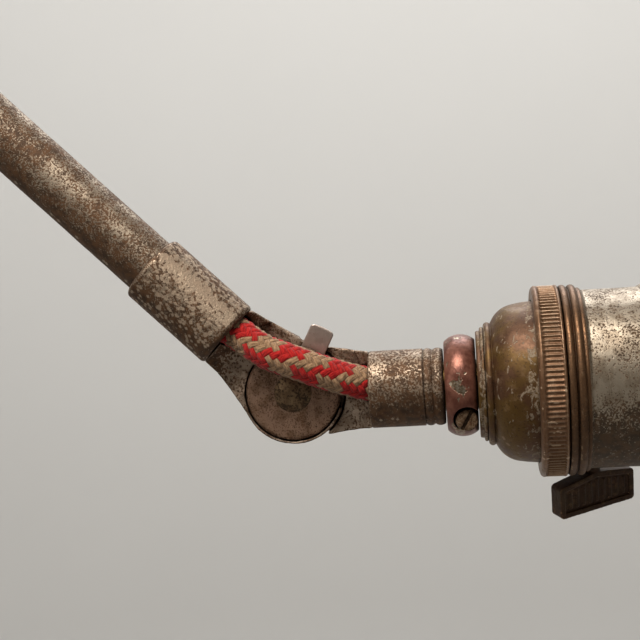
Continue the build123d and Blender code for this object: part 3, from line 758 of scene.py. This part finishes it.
def braided_tube(name, points, radius):
    """A tube of raised yarns along a line of points in millimetres, finest where it shows."""
    relief, around = 0.34, 224
    line_points, travel = resample(points, fine=0.1, coarse=0.5, start=16.0, end=52.0)
    tangents = np.gradient(line_points, travel, axis=0)
    tangents /= np.linalg.norm(tangents, axis=1)[:, None]
    side = np.zeros_like(tangents)
    side[0] = np.cross(tangents[0], (0, 1, 0))
    side[0] /= np.linalg.norm(side[0])
    for k in range(1, len(tangents)):
        carried = side[k - 1] - tangents[k] * side[k - 1].dot(tangents[k])
        side[k] = carried / np.linalg.norm(carried)
    other = np.cross(tangents, side)
    rows = len(line_points)
    columns = around + 1  # the last column repeats the first place, with a whole turn's count
    share = np.tile(np.arange(columns) / around, rows)
    turn = share * math.tau
    along = np.repeat(travel, columns)
    row_index = np.repeat(np.arange(rows), columns)
    outward = side[row_index] * np.cos(turn)[:, None] + other[row_index] * np.sin(turn)[:, None]
    surface = line_points[row_index] + radius * outward
    first, second = braid_counts(share, along, surface)
    reach = radius - relief * (1 - braid_height(first, second)) + 0.05 * hash_noise(surface, 2.0, 5)
    places = (line_points[row_index] + reach[:, None] * outward).reshape(rows, columns, 3)[:, :around]

    row, column = np.meshgrid(np.arange(rows - 1), np.arange(around), indexing="ij")
    after = (column + 1) % around
    faces = np.stack([row * around + column, (row + 1) * around + column,
                      (row + 1) * around + after, row * around + after], axis=-1).reshape(-1, 4)
    caps = [list(range(around)), list(range((rows - 1) * around, rows * around))[::-1]]
    mesh = bpy.data.meshes.new(name)
    mesh.from_pydata((places.reshape(-1, 3) * MM).tolist(), [], faces.tolist() + caps)
    corners = np.stack([row * columns + column, (row + 1) * columns + column,
                        (row + 1) * columns + column + 1, row * columns + column + 1], axis=-1).ravel()
    uv = np.stack([first[corners], second[corners]], axis=1)
    layer = mesh.uv_layers.new(name="UVMap")
    layer.data.foreach_set("uv", np.concatenate([uv, np.zeros((2 * around, 2))]).ravel())
    return new_object(name, mesh)


def build_flex():
    """The two loops across the knuckles, each running between the bodies on its sides."""
    points = spline_points("loop_route", LOOP_ROUTE)
    head = braided_tube("head_flex", points + np.array(HEAD) / MM, CORD_R)
    dress(head, None, "woven_flex", "head_cord_loop")
    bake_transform(head)
    turned_points = points * np.array((-1, 1, -1)) + np.array(BASE) / MM
    base = braided_tube("base_flex", turned_points, CORD_R)
    dress(base, None, "woven_flex", "base_cord_loop")
    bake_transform(base)


# ================================================================ knuckles
def dent_relief(seed, lumps=0.03, grain=0.012, pits=0.05, share=0.3):
    """A turned part's skin: slight lumps, grain and pits, in millimetres."""
    def relief(x, r, turn):
        points = np.stack([x, r * np.cos(turn), r * np.sin(turn)], axis=1)
        skin = lumps * fractal(points, 4.0, 2, seed) + grain * fractal(points, 0.6, 2, seed + 9)
        return skin - pits * pitting(points, share, seed + 30)
    return relief


def arm_sleeve():
    """The closed profile of a ferrule on the arm's side, with both outer edges rounded."""
    start, end = 18.4, 40.6
    outer, inner, edge = 7.75, 6.4, 1.0
    slope = edge * (1 - math.sqrt(0.5))
    profile = line((start, inner), (start, outer - edge), 0.5)
    profile += arc((start, outer - edge), (start + slope, outer - slope), (start + edge, outer), FINE_STEP)
    profile += line((start + edge, outer), (end - edge, outer), 0.25)
    profile += arc((end - edge, outer), (end - slope, outer - slope), (end, outer - edge), FINE_STEP)
    profile += line((end, outer - edge), (end, inner), 0.5)
    profile += line((end, inner), (start, inner), 2.0)
    return profile


def stem_sleeve():
    """The closed profile of a ferrule on the stem's side: a plain sleeve, then two rolled beads."""
    start, seat, beads, gap, end = 16.7, 23.2, 28.1, 30.0, 32.2
    outer, low, rise = 8.1, 7.75, 0.38
    mouth, bore = 6.6, 5.3
    profile = line((start, mouth), (start, outer - 0.4), 0.3)
    profile += arc((start, outer - 0.4), (start + 0.1, outer - 0.1), (start + 0.4, outer), FINE_STEP)
    profile += line((start + 0.4, outer), (beads - 0.1, outer), 0.25)
    profile += line((beads - 0.1, outer), (beads, low), FINE_STEP)
    profile += bead(beads, low, gap, low, rise, FINE_STEP) + bead(gap, low, end, low, rise, FINE_STEP)
    profile += line((end, low), (end, bore), 0.5) + line((end, bore), (seat, bore), 2.0)
    profile += line((seat, bore), (seat, mouth), 0.5) + line((seat, mouth), (start, mouth), 1.0)
    return profile


def build_knuckle(end, pivot, arm_dir, stem_dir, stem_body, seed):
    """One knuckle's castings, ferrules, cover, lever and bolt."""
    lever_body = f"{end}_lever"
    around = 200
    ferrule_skin = {"pits": 0.08, "share": 0.38}
    arm_ferrule = lathe(f"{end}_arm_sleeve", pivot, arm_dir, arm_sleeve(), around,
                        dent_relief(seed, **ferrule_skin))
    dress(arm_ferrule, "arm", "cast_ferrule", f"{end}_arm_ferrule")
    stem_ferrule = lathe(f"{end}_stem_sleeve", pivot, stem_dir, stem_sleeve(), around,
                         dent_relief(seed + 3, **ferrule_skin))
    dress(stem_ferrule, stem_body, "cast_ferrule", f"{end}_stem_ferrule")

    for part, body in (("arm_half", "arm"), ("stem_half", stem_body)):
        casting = recast(f"{end}_{part}_casting", f"{end}_{part}", 0.2, rounds=5, seed=seed + 11,
                         lumps=0.08, grain=0.03, pits=0.07, share=0.36)
        dress(casting, body, "cast_knuckle", f"{end}_{part}")
    cover = recast(f"{end}_cover", f"{end}_cover_disc", 0.16, rounds=3, seed=seed + 17,
                   lumps=0.02, grain=0.012, pits=0.05, share=0.3)
    dress(cover, lever_body, "cover_steel", f"{end}_cover_disc")
    lever = recast(f"{end}_lever_plate", f"{end}_lock_lever", 0.15, rounds=3)
    dress(lever, lever_body, "lever_steel", f"{end}_lock_lever")
    bolt = recast(f"{end}_bolt", f"{end}_pivot_bolt", 0.14, rounds=2, seed=seed + 23,
                  lumps=0.03, grain=0.01, pits=0.03)
    dress(bolt, lever_body, "bolt_steel", f"{end}_pivot_bolt")
    for part in ("pivot_nut", "spring_washer"):
        piece = recast(f"{end}_{part}_worn", f"{end}_{part}", 0.15, rounds=2, seed=seed + 29,
                       lumps=0.02, grain=0.01)
        dress(piece, stem_body, "bolt_steel", f"{end}_{part}")


def build_arm():
    """The plated tube between the two ferrules."""
    start, outer, inner = 26.0, 6.35, 5.3
    end = (BASE - HEAD).length / MM - start
    profile = line((start, inner), (start, outer), 0.5) + line((start, outer), (end, outer), 0.35)
    profile += line((end, outer), (end, inner), 0.5) + line((end, inner), (start, inner), 4.0)
    tube = lathe("arm_pipe", HEAD, ARM_AXIS, profile, 140,
                 dent_relief(71, lumps=0.035, pits=0.05, share=0.26))
    dress(tube, "arm", "worn_nickel", "arm_tube")


# ================================================================ lampholder
def build_collar():
    """The split clamp collar and its slotted screw."""
    collar = recast("collar_band", "clamp_collar", 0.17, rounds=4, seed=81,
                    lumps=0.03, grain=0.012, pits=0.03)
    dress(collar, "head", "collar_paint", "clamp_collar")
    screw = recast("collar_screw_head", "collar_screw", 0.1, rounds=2, seed=85,
                   lumps=0.03, grain=0.02, pits=0.04)
    dress(screw, "head", "screw_steel", "collar_screw")


def build_cap():
    """The domed brass cap: a neck of three growing beads, the dome, and the wall inside the ring."""
    bead_step, dome_step = 0.1, 0.3
    neck, collar, shoulder, dome, side, rim = 39.2, 40.0, 40.85, 42.5, 51.0, 58.0
    outer, inner, bore, hollow = 16.8, 15.8, 5.3, 43.4
    profile = line((rim, inner), (49.0, inner), 1.0) + line((49.0, inner), (45.4, 14.4), 1.0)
    profile += line((45.4, 14.4), (hollow, 11.6), 1.0) + line((hollow, 11.6), (hollow, bore), 1.5)
    profile += line((hollow, bore), (neck, bore), 1.5) + line((neck, bore), (neck, 11.0), 0.6)
    profile += bead(neck, 11.0, collar, 11.2, 0.1, FINE_STEP)
    profile += line((collar, 11.2), (collar + 0.05, 11.6), FINE_STEP)
    profile += bead(collar + 0.05, 11.6, shoulder, 11.75, 0.3, bead_step)
    profile += line((shoulder, 11.75), (shoulder + 0.05, 12.35), FINE_STEP)
    profile += bead(shoulder + 0.05, 12.35, 42.3, 12.6, 0.42, bead_step)
    profile += line((42.3, 12.6), (dome, 12.95), bead_step)
    profile += arc((dome, 12.95), (44.0, 14.9), (46.8, 16.3), dome_step)
    profile += arc((46.8, 16.3), (48.9, 16.65), (side, outer), dome_step)
    profile += line((side, outer), (rim, outer), 1.0) + line((rim, outer), (rim, inner), 0.5)
    cap = lathe("dome_cap", HEAD, HEAD_AXIS, profile, 330,
                dent_relief(91, lumps=0.06, grain=0.008, pits=0.03))
    dress(cap, "head", "cap_brass", "holder_cap")


def build_ring():
    """The union ring: smooth rims and a band of worn straight knurling."""
    ridges, ridge_points, ridge_depth = 120, 10, 0.5
    left, right, top, inner = 51.0, 56.5, 19.9, 17.0
    band_left, band_right, fade = 52.1, 55.95, 0.35
    band_top = top - 0.1

    def knurl(x, r, turn):
        depth = np.clip((x - band_left) / fade, 0, 1) * np.clip((band_right - x) / fade, 0, 1)
        wave = 0.5 - 0.5 * np.cos(turn * ridges)
        points = np.stack([x, r * np.cos(turn), r * np.sin(turn)], axis=1)
        wear = 0.75 + 0.35 * fractal(points, 6.0, 2, 103)
        skin = 0.02 * fractal(points, 1.5, 2, 107)
        return skin - np.where(r > top - 0.6, depth * ridge_depth * wear * wave**0.7, 0)

    profile = line((left, inner), (left, top - 1.1), 0.5)
    profile += arc((left, top - 1.1), (left + 0.22, top - 0.35), (left + 0.85, top), 0.1)
    profile += line((left + 0.85, top), (band_left, band_top), FINE_STEP)
    profile += line((band_left, band_top), (band_right, band_top), 0.18)
    profile += line((band_right, band_top), (right - 0.45, top), FINE_STEP)
    profile += arc((right - 0.45, top), (right - 0.12, top - 0.2), (right, top - 0.7), 0.1)
    profile += line((right, top - 0.7), (right, inner), 0.5) + line((right, inner), (left, inner), 1.5)
    ring = lathe("knurled_ring", HEAD, HEAD_AXIS, profile, ridges * ridge_points, knurl)
    dress(ring, "head", "ring_bronze", "union_ring")


def build_shell():
    """The shell's rolled beads in bronze tone, and its plated cylinder with a rolled stop and lip."""
    seat, floor, first, second, plated, stop, mouth = 56.6, 59.6, 58.3, 58.4, 60.1, 72.8, 93.6
    low, outer, inner, throat = 19.1, 18.5, 17.5, 17.0
    wall_step = 0.35
    profile = line((floor, inner), (floor, throat), 0.5) + line((floor, throat), (seat, throat), 1.0)
    profile += line((seat, throat), (seat, low), 0.5)
    profile += bead(seat, low, first, low, 0.7, FINE_STEP)
    profile += bead(second, low, plated, low, 0.7, FINE_STEP)
    profile += bead(plated + 0.05, 18.95, plated + 1.1, outer, 0.32, FINE_STEP)
    profile += line((plated + 1.1, outer), (stop, outer), wall_step)
    profile += bead(stop, outer, stop + 1.4, outer, 0.4, FINE_STEP)
    profile += line((stop + 1.4, outer), (mouth, outer), wall_step)
    profile += arc((mouth, outer), (mouth + 0.4, 18.0), (mouth, inner), FINE_STEP)
    profile += line((mouth, inner), (floor, inner), 1.5)
    shell = lathe("holder_skirt", HEAD, HEAD_AXIS, profile, 320,
                  dent_relief(111, lumps=0.05, pits=0.03, share=0.26))
    dress(shell, "head", "shell_nickel", "holder_shell")


def build_key():
    """The cast paddle key: raised rim, recessed panel with plain grip ribs, and its stem."""
    key = recast("paddle_key", "switch_key", 0.14, rounds=4, seed=121,
                 lumps=0.03, grain=0.015, pits=0.03)
    dress(key, "key", "key_bronze", "switch_key")


def build_wall_end():
    """The wall plate with its worn rim."""
    plate = recast("wall_rose", "wall_plate", 0.5, rounds=2, seed=131,
                   lumps=0.06, grain=0.02, pits=0.06, share=0.32)
    dress(plate, "wall", "plate_metal", "wall_plate")


def finish_solids():
    """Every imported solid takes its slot's material. The inner pieces are shown as their solids."""
    for entry in frame["record"]["subparts"]:
        node = frame["nodes"][entry["node"]]
        node.data.materials.clear()
        node.data.materials.append(MATERIALS[entry["material_slot"]])


place_camera()
set_stage()
finish_solids()
build_flex()
build_knuckle("head", HEAD, ARM_AXIS, HEAD_AXIS, "head", 11)
build_knuckle("base", BASE, -ARM_AXIS, -HEAD_AXIS, "stem", 41)
build_arm()
build_collar()
build_cap()
build_ring()
build_shell()
build_key()
build_wall_end()
